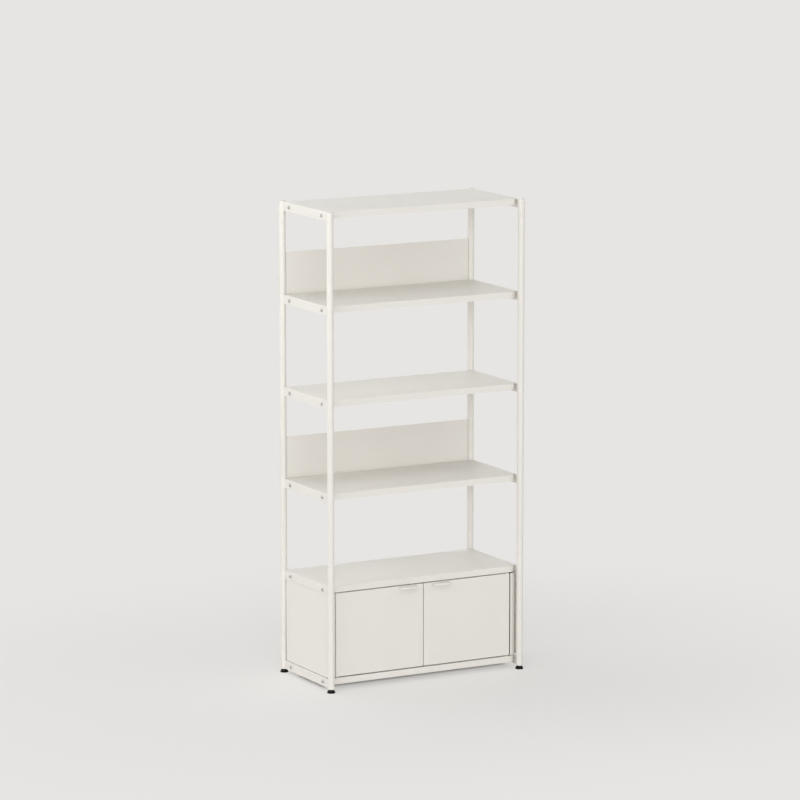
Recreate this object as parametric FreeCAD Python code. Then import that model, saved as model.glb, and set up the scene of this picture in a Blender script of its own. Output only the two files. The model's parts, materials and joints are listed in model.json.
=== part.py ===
import FreeCAD, Part
import math
import os

# Steel bookcase: two side frames of round posts and flat crossbars carry six folded trays.
# The lowest tier is a cabinet with two doors, and low back panels wrap round the rear posts.
# Millimetres. X runs to the right, Y to the back, Z up, origin on the floor under the middle.

# Side frames
post_spacing_x = 808.0
post_spacing_y = 382.0
post_diameter = 25.0
post_wall = 1.5
tier_pitch = 350.0
tier_count = 5
bar_height = 34.0
bar_thickness = 4.0
bar_edge_radius = 0.8
weld_gap = 0.05

# Post caps
cap_rise = 2.0
cap_edge = 0.7
cap_stem_length = 12.0
cap_fit = 0.1

# Levelling feet and the inserts that they screw into
foot_height = 13.8
foot_base_diameter = 31.0
foot_top_diameter = 20.0
foot_rim_height = 3.0
foot_rim_chamfer = 0.8
foot_seat_gap = 0.2
stud_diameter = 8.0
stud_length = 26.0
stud_clearance = 0.05
insert_length = 22.0

# Trays
sheet = 1.2
bend_radius = 2.5
tray_height = 24.0
tray_corner = 27.0
tray_front_gap = 9.0
tray_rear_gap = 1.5
front_hem = 30.0
rear_hem = 8.0
stiffener_width = 50.0
stiffener_height = 16.0
stiffener_end_gap = 60.0

# Tray screws and nuts
screw_diameter = 8.0
screw_hole_clearance = 0.3
screw_spacing = 260.0
screw_length = 18.0
head_diameter = 14.0
head_height = 4.4
head_round = 3.4
socket_across_flats = 5.0
socket_depth = 2.6
nut_across_flats = 13.0
nut_height = 6.5
thread_clearance = 0.05

# Back panels
panel_height = 180.0
panel_drop = 22.0
panel_front_offset = 5.0
panel_bend_radius = 3.0
panel_hem = 10.0
wrap_clearance = 0.3
panel_screw_diameter = 3.9
panel_screw_length = 7.0
panel_head_diameter = 8.0
panel_head_height = 1.4
panel_screw_inset = 30.0

# Cabinet sides, and the back with its foot strip
side_top_gap = 0.3
side_front_flat = 3.5
side_flange = 20.0
side_rear_inset = 8.0
side_post_gap = 0.5
side_bar_gap = 0.5
side_foot_height = 2.0
side_foot_setback = 7.0
side_foot_inset = 12.0
back_top_gap = 1.0
back_foot = 15.0
back_foot_gap = 2.0
back_end_gap = 2.0
back_lift = 0.3

# Cabinet screws
cabinet_screw_diameter = 5.0
cabinet_screw_length = 12.0
cabinet_screw_inset = 70.0
cabinet_head_diameter = 9.5
cabinet_head_height = 2.75
cabinet_head_round = 2.2
cabinet_socket_across_flats = 3.0
cabinet_socket_depth = 1.6

# Doors
door_gap = 3.0
door_level_gap = 4.0
door_depth = 18.0
door_rear_lip = 14.0
pivot_edge = 9.0

# Door pivots
pin_diameter = 6.0
pin_reach = 9.0
pin_clearance = 0.05
pin_head_diameter = 10.0
pin_head_height = 2.0
pin_collar_gap = 0.1
pin_wall_gap = 0.5
bush_diameter = 9.0
bush_length = 8.0
bush_flange_diameter = 13.0
bush_flange = 1.0
bush_fit = 0.05

# Door pulls
pull_sheet = 1.5
pull_width = 75.0
pull_reach = 20.0
pull_drop = 9.0
pull_below_top = 3.0
pull_edge = 32.0
pull_bend_radius = 3.0
pull_corner = 3.0

# Magnetic catches and strikes
catch_width = 34.0
catch_height = 13.0
catch_edge = 14.0
strike_sheet = 1.0
strike_height = 10.0
strike_drop = 2.0
catch_gap = 0.3

# One overrun serves all cuts, and points nearer than same_point are one point
overrun = 5.0
same_point = 1e-6

# Places that follow from the sizes
sides = {"left": -1, "right": 1}
ends = {"front": -1, "rear": 1}
half_x = post_spacing_x / 2
half_y = post_spacing_y / 2
post_bottom = foot_height + foot_seat_gap
floor_top = post_bottom + bar_height
tray_tops = [floor_top + tier_pitch * (tier_count - level) for level in range(tier_count + 1)]
post_top = tray_tops[0]
cabinet_top = tray_tops[tier_count - 1]
bore_diameter = post_diameter - post_wall * 2
tray_half = half_x - bar_thickness / 2
tray_front = -half_y + post_diameter / 2 + tray_front_gap
tray_rear = half_y - post_diameter / 2 - tray_rear_gap
bar_face = half_x + bar_thickness / 2
screw_drop = bar_height / 2
screw_rows = [-screw_spacing / 2, screw_spacing / 2]
tray_screw_sizes = (screw_diameter, screw_length, head_diameter, head_height, head_round,
                    socket_across_flats, socket_depth)
cabinet_screw_sizes = (cabinet_screw_diameter, cabinet_screw_length, cabinet_head_diameter,
                       cabinet_head_height, cabinet_head_round, cabinet_socket_across_flats,
                       cabinet_socket_depth)
panel_front = half_y - panel_front_offset
wrap_inner = post_diameter / 2 + wrap_clearance
wrap_outer = wrap_inner + sheet
panel_levels = [1, 3, 5]
panel_rise = panel_height - panel_drop
side_inner = bar_face - tray_corner - side_front_flat
side_front = -half_y + post_diameter / 2 + side_post_gap
side_rear = tray_rear - side_rear_inset
side_bottom = floor_top + side_foot_height
side_top = cabinet_top - bar_height - side_top_gap
back_rear = side_rear - sheet
back_front = back_rear - sheet
back_half = bar_face - side_flange - back_foot_gap
door_outer = side_inner - door_gap
door_inner = door_gap / 2
door_bottom = floor_top + door_level_gap
door_top = cabinet_top - tray_height - door_level_gap
door_rear = tray_front + door_depth
pivot_x = door_outer - pivot_edge
pivot_y = tray_front + bend_radius + pin_head_diameter / 2 + pin_wall_gap


def at(x, y, z):
    """Point in space."""
    return FreeCAD.Vector(x, y, z)


def box(x_span, y_span, z_span):
    """Box between the two ends of each span, given in either order."""
    low = at(min(x_span), min(y_span), min(z_span))
    high = at(max(x_span), max(y_span), max(z_span))
    size = high - low
    return Part.makeBox(size.x, size.y, size.z, low)


def rod(diameter, start, end):
    """Round bar from one point to another."""
    run = end - start
    return Part.makeCylinder(diameter / 2, run.Length, start, run)


def turned(outline, x, y):
    """Solid of revolution about a vertical axis, from (radius, height) points."""
    points = [at(x + radius, y, height) for radius, height in outline]
    face = Part.Face(Part.makePolygon(points + points[:1]))
    return face.revolve(at(x, y, 0), at(0, 0, 1), 360)


def hexagon(across_flats, start, run):
    """Hexagonal prism from a point along a run."""
    corner = across_flats / math.sqrt(3)
    tilt = FreeCAD.Rotation(at(0, 0, 1), run)
    angles = [math.radians(60 * turn + 30) for turn in range(6)]
    points = [start + tilt.multVec(at(corner * math.cos(a), corner * math.sin(a), 0)) for a in angles]
    return Part.Face(Part.makePolygon(points + points[:1])).extrude(run)


def on(value, level):
    """Whether a coordinate lies on a level."""
    return abs(value - level) < same_point


def edges_where(shape, keep):
    """Edges of a shape whose two end points both pass a test."""
    return [edge for edge in shape.Edges if all(keep(vertex.Point) for vertex in edge.Vertexes)]


def rounded_box(x_span, y_span, z_span, radius):
    """Box with all its edges rounded."""
    block = box(x_span, y_span, z_span)
    return block.makeFillet(radius, block.Edges)


def round_fronted(x_span, y_span, z_span, corner_xs, corner):
    """Box whose front upright edges are rounded at the given places along X."""
    block = box(x_span, y_span, z_span)
    front = min(y_span)
    edges = [edge for x in corner_xs for edge in edges_where(block, lambda p: on(p.x, x) and on(p.y, front))]
    return block.makeFillet(corner, edges)


def soft_pan(x_span, y_span, z_span, corner_xs, depth, sharp=lambda p: False):
    """Form of a pan with wide front corners, at a depth under its skin; sharp tells the edges left as cut."""
    block = round_fronted(x_span, y_span, z_span, corner_xs, tray_corner - depth)
    rear = max(y_span)
    edges = [edge for z in z_span for edge in edges_where(block, lambda p: on(p.z, z))]
    edges += [edge for x in x_span for edge in edges_where(block, lambda p: on(p.x, x) and on(p.y, rear))]
    left_sharp = edges_where(block, sharp)
    edges = [edge for edge in edges if not any(edge.isSame(other) for other in left_sharp)]
    return block.makeFillet(bend_radius - depth, edges)


def inset(span, step):
    """Span made shorter by a step at each end."""
    return (min(span) + step, max(span) - step)


def strip_side(path, thickness, offset):
    """Lines and arcs, as point tuples, at an offset from the middle line of a bent sheet."""
    runs = []
    last = None
    for index, (u, v, bend) in enumerate(path):
        here = at(u, v, 0)
        before = at(*path[max(index - 1, 0)][:2], 0)
        after = at(*path[min(index + 1, len(path) - 1)][:2], 0)
        into = (here - before if index else after - here).normalize()
        out = (after - here).normalize() if index + 1 < len(path) else into
        turn = into.x * out.y - into.y * out.x
        sign = math.copysign(1, turn)
        radius = bend + thickness / 2
        reach = radius * math.tan(into.getAngle(out) / 2)
        start = here - into * reach + at(-into.y, into.x, 0) * offset
        if last is not None and last.distanceToPoint(start) > same_point:
            runs.append((last, start))
        last = start
        if abs(turn) > same_point:
            centre = here - into * reach + at(-into.y, into.x, 0) * (sign * radius)
            middle = centre + (here - centre).normalize() * (radius - sign * offset)
            last = here + out * reach + at(-out.y, out.x, 0) * offset
            runs.append((start, middle, last))
    return runs


def bent_strip(path, thickness, place):
    """Face of a bent sheet, from (u, v, inner bend radius) points on its middle line."""
    left = strip_side(path, thickness, thickness / 2)
    right = [tuple(reversed(run)) for run in reversed(strip_side(path, thickness, -thickness / 2))]
    far_end = (left[-1][-1], right[0][0])
    near_end = (right[-1][-1], left[0][0])
    edges = []
    for run in left + [far_end] + right + [near_end]:
        spots = [place(point.x, point.y) for point in run]
        curve = Part.Arc(*spots) if len(spots) == 3 else Part.LineSegment(*spots)
        edges.append(curve.toShape())
    return Part.Face(Part.Wire(edges))


# Side frames
def post(side, end):
    """Tube post; a rear post is drilled for the screws of the back panels."""
    x = side * half_x
    y = end * half_y
    low = at(x, y, post_bottom)
    high = at(x, y, post_top)
    tube = rod(post_diameter, low, high).cut(rod(bore_diameter, low, high))
    if end == ends["rear"]:
        for height in panel_screw_heights():
            tube = tube.cut(rod(panel_screw_diameter, at(x, y, height), at(x, y + post_diameter, height)))
    return tube


def post_cap(side, end):
    """Push-in cap with a crowned top."""
    stem = (bore_diameter - cap_fit) / 2
    rim = post_diameter / 2
    crown = rim - cap_rise
    outline = [
        (0, post_top - cap_stem_length),
        (stem, post_top - cap_stem_length),
        (stem, post_top),
        (rim, post_top),
        (rim, post_top + cap_edge),
        (crown, post_top + cap_rise),
        (0, post_top + cap_rise),
    ]
    return turned(outline, side * half_x, end * half_y)


def foot_insert(side, end):
    """Threaded plug in the post's lower end."""
    low = at(side * half_x, end * half_y, post_bottom)
    high = low + at(0, 0, insert_length)
    plug = rod(bore_diameter - cap_fit, low, high)
    return plug.cut(rod(stud_diameter + stud_clearance * 2, low, high))


def levelling_foot(side, end):
    """Conical foot with its stud."""
    base = foot_base_diameter / 2
    stud = stud_diameter / 2
    outline = [
        (0, 0),
        (base - foot_rim_chamfer, 0),
        (base, foot_rim_chamfer),
        (base, foot_rim_height),
        (foot_top_diameter / 2, foot_height),
        (stud, foot_height),
        (stud, foot_height + stud_length),
        (0, foot_height + stud_length),
    ]
    return turned(outline, side * half_x, end * half_y)


def crossbar(side, top):
    """Flat bar between two posts, coped to both and drilled for the tray screws."""
    x = side * half_x
    thick = (x - bar_thickness / 2, x + bar_thickness / 2)
    bar = box(thick, (-half_y, half_y), (top - bar_height, top))
    along = [edge for edge in bar.Edges if not on(edge.Vertexes[0].Y, edge.Vertexes[1].Y)]
    bar = bar.makeFillet(bar_edge_radius, along)
    for end in ends.values():
        low = at(x, end * half_y, top - bar_height - overrun)
        bar = bar.cut(rod(post_diameter + weld_gap * 2, low, low + at(0, 0, bar_height + overrun * 2)))
    return bar.cut(Part.makeCompound(screw_holes(side, top)))


# Trays
def screw_holes(side, top):
    """Clearance holes for the screws at one end of a tray."""
    hole = screw_diameter + screw_hole_clearance * 2
    inside = side * (tray_half - sheet - overrun)
    outside = side * (bar_face + overrun)
    height = top - screw_drop
    return [rod(hole, at(inside, y, height), at(outside, y, height)) for y in screw_rows]


def tray_stiffener(top):
    """Channel welded under the middle of a tray, open below."""
    x_span = (-tray_half + stiffener_end_gap, tray_half - stiffener_end_gap)
    middle = (tray_front + tray_rear) / 2
    y_span = (middle - stiffener_width / 2, middle + stiffener_width / 2)
    under = top - sheet
    channel = box(x_span, y_span, (under - stiffener_height, under))
    hollow = box(inset(x_span, -overrun), inset(y_span, sheet), (under - stiffener_height, under - sheet))
    return channel.cut(hollow)


def tray(top, door_pins_z=None):
    """Folded tray with lips, hems and end flanges; door_pins_z drills it for the pivot pins."""
    bottom = top - tray_height
    x_span = (-tray_half, tray_half)
    y_span = (tray_front, tray_rear)
    z_span = (bottom, top)
    outer = soft_pan(x_span, y_span, z_span, x_span, 0, lambda p: on(p.z, bottom))
    room_x = inset(x_span, sheet)
    hollow = soft_pan(room_x, inset(y_span, sheet), inset(z_span, sheet), room_x, sheet)
    mouth = box(room_x, (tray_front + front_hem, tray_rear - rear_hem), (bottom - overrun, top - sheet))
    folded = outer.cut(hollow).cut(mouth)
    for side in sides.values():
        folded = folded.cut(Part.makeCompound(screw_holes(side, top)))
        if door_pins_z is not None:
            low = at(side * pivot_x, pivot_y, door_pins_z - overrun)
            folded = folded.cut(rod(pin_diameter + pin_clearance * 2, low, low + at(0, 0, overrun * 2)))
    return folded


def socket_screw(seat, way, sizes):
    """Button-head screw with a hexagon socket; way is the unit vector out of the seat."""
    diameter, length, head_width, head_rise, crown_round, across_flats, depth = sizes
    crown = seat + way * head_rise
    head = rod(head_width, seat, crown)
    rim = edges_where(head, lambda p: p.distanceToPoint(crown) < p.distanceToPoint(seat))
    screw = head.makeFillet(crown_round, rim).fuse(rod(diameter, seat, seat - way * length))
    return screw.cut(hexagon(across_flats, crown, way * -depth))


def tray_screw(side, y, top):
    """Screw through a crossbar and the end flange of a tray."""
    return socket_screw(at(side * bar_face, y, top - screw_drop), at(side, 0, 0), tray_screw_sizes)


def tray_nut(side, y, top):
    """Nut on the inner face of a tray's end flange."""
    seat = at(side * (tray_half - sheet), y, top - screw_drop)
    run = at(-side * nut_height, 0, 0)
    return hexagon(nut_across_flats, seat, run).cut(
        rod(screw_diameter + thread_clearance * 2, seat, seat + run))


def at_tray_screws(make):
    """One fastener for each tray screw position, as a group."""
    return Part.makeCompound(
        [make(side, y, top) for top in tray_tops for side in sides.values() for y in screw_rows])


# Back panels
def panel_screw_heights():
    """Heights of the screws of all back panels."""
    tops = [tray_tops[level] + panel_rise for level in panel_levels]
    return [z for top in tops for z in (top - panel_screw_inset, top - panel_height + panel_screw_inset)]


def back_panel(level):
    """Sheet panel whose ends wrap round the rear half of the rear posts."""
    wrap = (wrap_inner + wrap_outer) / 2
    flat = panel_front + sheet / 2
    half_path = [
        (half_x + wrap, half_y, 0),
        (half_x + wrap, half_y + wrap, wrap_inner),
        (half_x - wrap, half_y + wrap, wrap_inner),
        (half_x - wrap, flat, panel_bend_radius),
    ]
    path = half_path + [(-x, y, bend) for x, y, bend in reversed(half_path)]
    top = tray_tops[level] + panel_rise
    bottom = top - panel_height
    sheet_face = bent_strip(path, sheet, lambda x, y: at(x, y, bottom))
    panel = sheet_face.extrude(at(0, 0, panel_height))
    hem_half = half_x - wrap_outer - panel_hem
    behind = panel_front + sheet
    for z_span in ((top - panel_hem, top), (bottom, bottom + panel_hem)):
        panel = panel.fuse(box((-hem_half, hem_half), (behind, behind + sheet), z_span))
    for side in sides.values():
        for height in panel_screw_heights():
            start = at(side * half_x, half_y, height)
            panel = panel.cut(rod(panel_screw_diameter, start, start + at(0, post_diameter, 0)))
    return panel


def panel_screws():
    """Screws that hold the wrapped ends of the panels to the posts."""
    group = []
    for side in sides.values():
        for height in panel_screw_heights():
            seat = at(side * half_x, half_y + wrap_outer, height)
            head = rod(panel_head_diameter, seat, seat + at(0, panel_head_height, 0))
            group.append(head.fuse(rod(panel_screw_diameter - thread_clearance * 2,
                                       seat, seat - at(0, panel_screw_length, 0))))
    return Part.makeCompound(group)


# Cabinet
def cabinet_screw_seats():
    """Screw seats above the floor tray: two in each side pan and three on the back's foot strip."""
    x_side = bar_face - side_flange / 2
    rows = [tray_front + cabinet_screw_inset, side_rear - cabinet_screw_inset]
    seats = [at(side * x_side, y, side_bottom + sheet) for side in sides.values() for y in rows]
    reach = side_inner - cabinet_screw_inset
    return seats + [at(x, back_front - back_foot / 2, floor_top + sheet) for x in (-reach, 0, reach)]


def cabinet_holes():
    """Clearance holes through the floor tray and what stands on it."""
    hole = cabinet_screw_diameter + screw_hole_clearance * 2
    reach = at(0, 0, overrun)
    return Part.makeCompound([rod(hole, seat + reach, seat - reach) for seat in cabinet_screw_seats()])


def cabinet_screws():
    """Screws from the cabinet's inside down into the floor tray."""
    return Part.makeCompound(
        [socket_screw(seat, at(0, 0, 1), cabinet_screw_sizes) for seat in cabinet_screw_seats()])


def side_foot_strips():
    """Strips on the floor tray that hold the side pans clear of the crossbars."""
    x_span = (bar_face - side_flange, bar_face - side_foot_setback)
    y_span = (tray_front + tray_corner, side_rear - side_foot_inset)
    strips = [box((side * x_span[0], side * x_span[1]), y_span, (floor_top, side_bottom))
              for side in sides.values()]
    return Part.makeCompound(strips).cut(cabinet_holes())


def cabinet_side(side):
    """Side pan flush with the crossbars, with a rounded front flange and a wing that runs on to the post."""
    x_span = (side * bar_face, side * side_inner)
    y_span = (tray_front, side_rear)
    z_span = (side_bottom, side_top + bend_radius * 2)
    outer = soft_pan(x_span, y_span, z_span, x_span[:1], 0, lambda p: on(abs(p.x), side_inner))
    room_x = (side * (bar_face - sheet), side * (side_inner - overrun))
    room_y = inset(y_span, sheet)
    hollow = soft_pan(room_x, room_y, inset(z_span, sheet), room_x[:1], sheet)
    trim_x = (side * (bar_face - side_flange), side * (side_inner - overrun))
    trim = box(trim_x, (tray_front + tray_corner, side_rear + overrun), inset(z_span, -overrun))
    above = box(inset(x_span, -overrun), inset(y_span, -overrun), (side_top, max(z_span) + overrun))
    wing = box((side * (bar_face - sheet), side * bar_face), (side_front, tray_front + tray_corner + overrun),
               (side_bottom + bend_radius, side_top))
    tab_z = (side_top - bend_radius, door_top)
    tab_x = (side * (tray_half - side_bar_gap), side * side_inner)
    tab = round_fronted(x_span, y_span, tab_z, x_span[:1], tray_corner).cut(
        round_fronted(room_x, room_y, inset(tab_z, -overrun), room_x[:1], tray_corner - sheet)).common(
        box(tab_x, (tray_front, tray_front + tray_corner), tab_z))
    pan = outer.cut(hollow).cut(trim).cut(above).fuse([tab, wing])
    return pan.cut(cabinet_holes()).removeSplitter()


def back_foot_strip():
    """Strip on the floor tray that carries the back sheet, between the side pans."""
    return box((-back_half, back_half), (back_front - back_foot, back_rear),
               (floor_top, floor_top + sheet)).cut(cabinet_holes())


def cabinet_back():
    """Back sheet welded on the foot strip, with wings in front of the side pans' rear flanges."""
    top = cabinet_top - tray_height - back_top_gap
    back = box((-back_half, back_half), (back_front, back_rear), (floor_top + sheet, top))
    wing_half = bar_face - sheet - back_end_gap
    wing_z = inset((side_bottom, side_top), bend_radius + back_lift)
    wings = box((-wing_half, wing_half), (back_front, back_rear), wing_z)
    return back.fuse(wings).removeSplitter()


def door(side):
    """Boxed door: a pan with a narrow lip all round its open back."""
    x_span = (side * door_inner, side * door_outer)
    y_span = (tray_front, door_rear)
    z_span = (door_bottom, door_top)
    outer = rounded_box(x_span, y_span, z_span, bend_radius)
    room = [inset(span, sheet) for span in (x_span, y_span, z_span)]
    hollow = rounded_box(*room, bend_radius - sheet)
    mouth_y = (door_rear - sheet * 2, door_rear + overrun)
    mouth = box(inset(x_span, door_rear_lip), mouth_y, inset(z_span, door_rear_lip))
    low = at(side * pivot_x, pivot_y, door_bottom - overrun)
    high = at(side * pivot_x, pivot_y, door_top + overrun)
    return outer.cut(hollow).cut(mouth).cut(rod(bush_diameter + bush_fit * 2, low, high))


def door_bush(side, edge, inward):
    """Flanged bush in a door's upper or lower edge; inward is the way into the door."""
    seat = at(side * pivot_x, pivot_y, edge)
    flange_end = seat - at(0, 0, inward * bush_flange)
    sleeve_end = seat + at(0, 0, inward * bush_length)
    bush = rod(bush_diameter, seat, sleeve_end).fuse(rod(bush_flange_diameter, seat, flange_end))
    return bush.cut(rod(pin_diameter + pin_clearance * 2, flange_end, sleeve_end))


def door_bushes(side):
    """The two bushes of one door."""
    return Part.makeCompound([door_bush(side, door_bottom, 1), door_bush(side, door_top, -1)])


def lower_pin(side):
    """Pivot pin riveted into the floor tray, with a collar that carries the door."""
    base = at(side * pivot_x, pivot_y, floor_top)
    collar = base + at(0, 0, door_level_gap - bush_flange - pin_collar_gap)
    under = base - at(0, 0, sheet)
    pin = rod(pin_diameter, under, base + at(0, 0, door_level_gap + pin_reach))
    return pin.fuse(rod(pin_head_diameter, base, collar)).fuse(
        rod(pin_head_diameter, under - at(0, 0, pin_head_height), under))


def upper_pin(side):
    """Pivot pin dropped through the upper tray's front hem."""
    hem_top = at(side * pivot_x, pivot_y, cabinet_top - tray_height + sheet)
    tip = at(side * pivot_x, pivot_y, door_top - pin_reach)
    return rod(pin_diameter, tip, hem_top).fuse(
        rod(pin_head_diameter, hem_top, hem_top + at(0, 0, pin_head_height)))


def pivot_pins():
    """All pivot pins of the doors."""
    return Part.makeCompound([make(side) for side in sides.values() for make in (lower_pin, upper_pin)])


def door_pull(side):
    """Bent tab welded to the door's face near its upper free corner."""
    crest = door_top - pull_below_top - pull_sheet / 2
    nose = tray_front - pull_reach + pull_sheet / 2
    path = [
        (tray_front, crest, 0),
        (nose, crest, pull_bend_radius),
        (nose, door_top - pull_below_top - pull_drop, 0),
    ]
    near = side * (door_inner + pull_edge)
    face = bent_strip(path, pull_sheet, lambda y, z: at(near, y, z))
    tab = face.extrude(at(side * pull_width, 0, 0))
    low = door_top - pull_below_top - pull_drop
    corners = edges_where(tab, lambda p: on(p.z, low))
    across = [edge for edge in corners if not on(edge.Vertexes[0].Y, edge.Vertexes[1].Y)]
    return tab.makeFillet(pull_corner, across)


def catch_span(side):
    """Width of a catch and its strike, near the door's free edge."""
    near = door_inner + catch_edge
    return (side * near, side * (near + catch_width))


def magnet_catches():
    """Catch bodies under the upper tray's front hem."""
    hem_bottom = cabinet_top - tray_height
    y_span = (door_rear + strike_sheet + catch_gap, tray_front + front_hem)
    z_span = (hem_bottom - catch_height, hem_bottom)
    return Part.makeCompound([box(catch_span(side), y_span, z_span) for side in sides.values()])


def strike_plate(side):
    """Plate on the rear lip of a door that meets the catch."""
    high = door_top - strike_drop
    return box(catch_span(side), (door_rear, door_rear + strike_sheet), (high - strike_height, high))


def pieces():
    """Every piece of the bookcase by name."""
    made = {}
    for side_name, side in sides.items():
        for end_name, end in ends.items():
            corner = f"{end_name}_{side_name}"
            made[f"post_{corner}"] = post(side, end)
            made[f"post_cap_{corner}"] = post_cap(side, end)
            made[f"foot_insert_{corner}"] = foot_insert(side, end)
            made[f"levelling_foot_{corner}"] = levelling_foot(side, end)
        for level, top in enumerate(tray_tops):
            made[f"crossbar_{side_name}_{level + 1}"] = crossbar(side, top)
        made[f"cabinet_side_{side_name}"] = cabinet_side(side)
        made[f"door_{side_name}"] = door(side)
        made[f"door_pull_{side_name}"] = door_pull(side)
        made[f"door_bushes_{side_name}"] = door_bushes(side)
        made[f"strike_plate_{side_name}"] = strike_plate(side)
    for level, top in enumerate(tray_tops[:-1]):
        pins_z = top - tray_height if level == tier_count - 1 else None
        made[f"shelf_{level + 1}"] = tray(top, pins_z)
    made["cabinet_floor"] = tray(floor_top, floor_top).cut(cabinet_holes())
    made["tray_stiffeners"] = Part.makeCompound([tray_stiffener(top) for top in tray_tops])
    for number, level in enumerate(panel_levels):
        made[f"back_panel_{number + 1}"] = back_panel(level)
    made["cabinet_back"] = cabinet_back()
    made["back_foot_strip"] = back_foot_strip()
    made["side_foot_strips"] = side_foot_strips()
    made["tray_screws"] = at_tray_screws(tray_screw)
    made["tray_nuts"] = at_tray_screws(tray_nut)
    made["panel_screws"] = panel_screws()
    made["cabinet_screws"] = cabinet_screws()
    made["pivot_pins"] = pivot_pins()
    made["magnet_catches"] = magnet_catches()
    return made


os.makedirs("parts", exist_ok=True)
for name, shape in pieces().items():
    shape.exportStep(f"parts/{name}.step")
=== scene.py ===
"""Looks of a steel bookcase with cabinet doors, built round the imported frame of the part.

Metres throughout. X runs to the right, Y to the back, Z up, origin on the floor under the middle.
"""

import json
import logging
import math
from abc import ABC, abstractmethod
from dataclasses import dataclass
from enum import Enum
from itertools import product
from typing import Any, Iterable

import bmesh
import bpy
from mathutils import Euler, Matrix, Vector


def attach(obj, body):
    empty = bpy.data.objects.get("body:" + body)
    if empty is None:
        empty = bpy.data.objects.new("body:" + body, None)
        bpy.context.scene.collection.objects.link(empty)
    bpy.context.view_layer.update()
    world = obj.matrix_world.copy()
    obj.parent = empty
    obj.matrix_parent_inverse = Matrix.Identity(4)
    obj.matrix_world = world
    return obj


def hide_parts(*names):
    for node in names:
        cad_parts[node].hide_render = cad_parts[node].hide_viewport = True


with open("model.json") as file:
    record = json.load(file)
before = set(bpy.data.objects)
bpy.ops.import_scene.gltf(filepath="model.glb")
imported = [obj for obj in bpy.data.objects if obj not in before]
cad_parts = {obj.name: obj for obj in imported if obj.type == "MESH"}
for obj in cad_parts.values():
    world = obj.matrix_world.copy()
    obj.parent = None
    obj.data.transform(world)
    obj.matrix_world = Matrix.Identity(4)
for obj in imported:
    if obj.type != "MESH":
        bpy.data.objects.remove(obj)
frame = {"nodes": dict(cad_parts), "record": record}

LOG = logging.getLogger("bookcase")
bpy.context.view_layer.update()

# Vertices nearer to each other than this are one, in metres.
MERGE = 1e-6
# Edges whose faces meet at more than this stay crisp, in radians.
CRISP = 0.6
# Where the ridge and the groove of a thread lie in its pitch.
RIDGE_SHARE = 0.25
GROOVE_SHARE = 0.75
# Most values of a noise texture lie in this span.
NOISE_SPAN = (0.3, 0.7)

RIGHT = Vector((1.0, 0.0, 0.0))
BACK = Vector((0.0, 1.0, 0.0))
UP = Vector((0.0, 0.0, 1.0))

Color = tuple[float, float, float]
Spot = tuple[float, float, float]
Point = tuple[float, float]


class Slot(Enum):
    """Finishes of the part, by the record's slot names."""

    COAT = "powder_coat"
    CAP = "cap_plastic"
    INSERT = "insert_plastic"
    FOOT = "foot_plastic"
    BUSH = "bush_plastic"
    CATCH = "catch_plastic"
    STEEL = "fastener_steel"


class Body(Enum):
    """Bodies of the part that have no side or corner of their own."""

    FRAME = "frame"


class Side(Enum):
    """Sides of the bookcase, with their sign along X."""

    LEFT = -1
    RIGHT = 1

    @property
    def word(self) -> str:
        """Name of the side as the frame writes it."""
        return self.name.lower()


class End(Enum):
    """Front and rear of the bookcase, with their sign along Y."""

    FRONT = -1
    REAR = 1

    @property
    def word(self) -> str:
        """Name of the end as the frame writes it."""
        return self.name.lower()


class Rounding(Enum):
    """What a rounding takes off, in the words of Blender's bevel."""

    EDGES = "EDGES"
    CORNERS = "VERTICES"


class Socket(Enum):
    """Kinds of socket on a node group."""

    VALUE = "NodeSocketFloat"
    VECTOR = "NodeSocketVector"
    COLOR = "NodeSocketColor"


class MixKind(Enum):
    """Kinds of Mix node: its data type, the numbers of its two value sockets and of its result."""

    VALUE = ("FLOAT", 2, 3, 0)
    COLOR = ("RGBA", 6, 7, 2)


# Finishes


def opaque(color: Color) -> tuple[float, float, float, float]:
    """Give a colour its full alpha."""
    return (*color, 1.0)


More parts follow.
